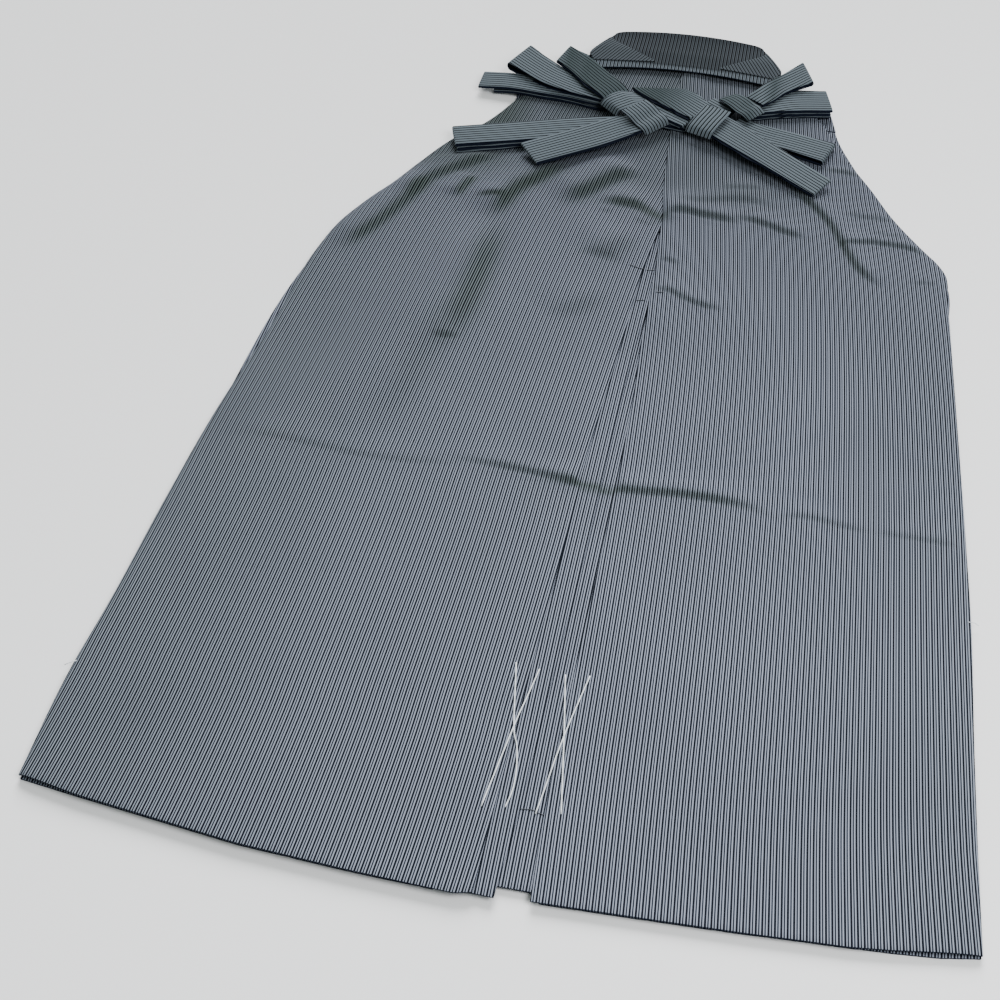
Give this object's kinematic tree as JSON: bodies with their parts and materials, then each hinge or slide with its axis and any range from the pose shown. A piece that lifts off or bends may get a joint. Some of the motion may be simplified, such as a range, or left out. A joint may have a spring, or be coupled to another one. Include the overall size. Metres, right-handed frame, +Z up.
{
  "type": "hakama trousers",
  "caption": "Striped hakama trousers laid flat with the back up: wide pleated legs, a stiff waist board, and long ties folded and crossed over the back waist.",
  "frame": {"origin": "middle of the footprint, on the surface that the garment lies on", "axes": "+Y from the hem to the waist board, +X towards the wearer's right side, +Z up, away from the front of the garment"},
  "size_m": [0.5772, 0.9726, 0.0215],
  "materials": {
    "cloth": "silk with fine lengthwise stripes, soft sheen",
    "board": "dark striped silk over a stiff board",
    "tie": "striped silk folded in layers, soft sheen"
  },
  "bodies": {
    "root": {"back_panel_left": "cloth", "back_panel_right": "cloth", "front_panel_left": "cloth", "front_panel_right": "cloth", "front_waistband": "cloth", "inner_pleat_centre": "cloth", "inner_pleat_left": "cloth", "knot_left_band": "tie", "knot_left_wrap": "tie", "knot_right_band": "tie", "knot_right_wrap": "tie", "tie_back_left": "tie", "tie_back_right": "tie", "tie_centre_link": "tie", "tie_centre_lower": "tie", "tie_centre_upper": "tie", "tie_left_end": "tie", "tie_left_level": "tie", "tie_left_loop": "tie", "tie_left_lower": "tie", "tie_right_end": "tie", "tie_right_level": "tie", "tie_right_loop": "tie", "tie_root_left": "tie", "tie_root_right": "tie", "tie_under_right_knot": "tie", "tie_upper_left": "tie", "tie_upper_right_loop": "tie", "waist_board": "board"}
  },
  "joints": []
}
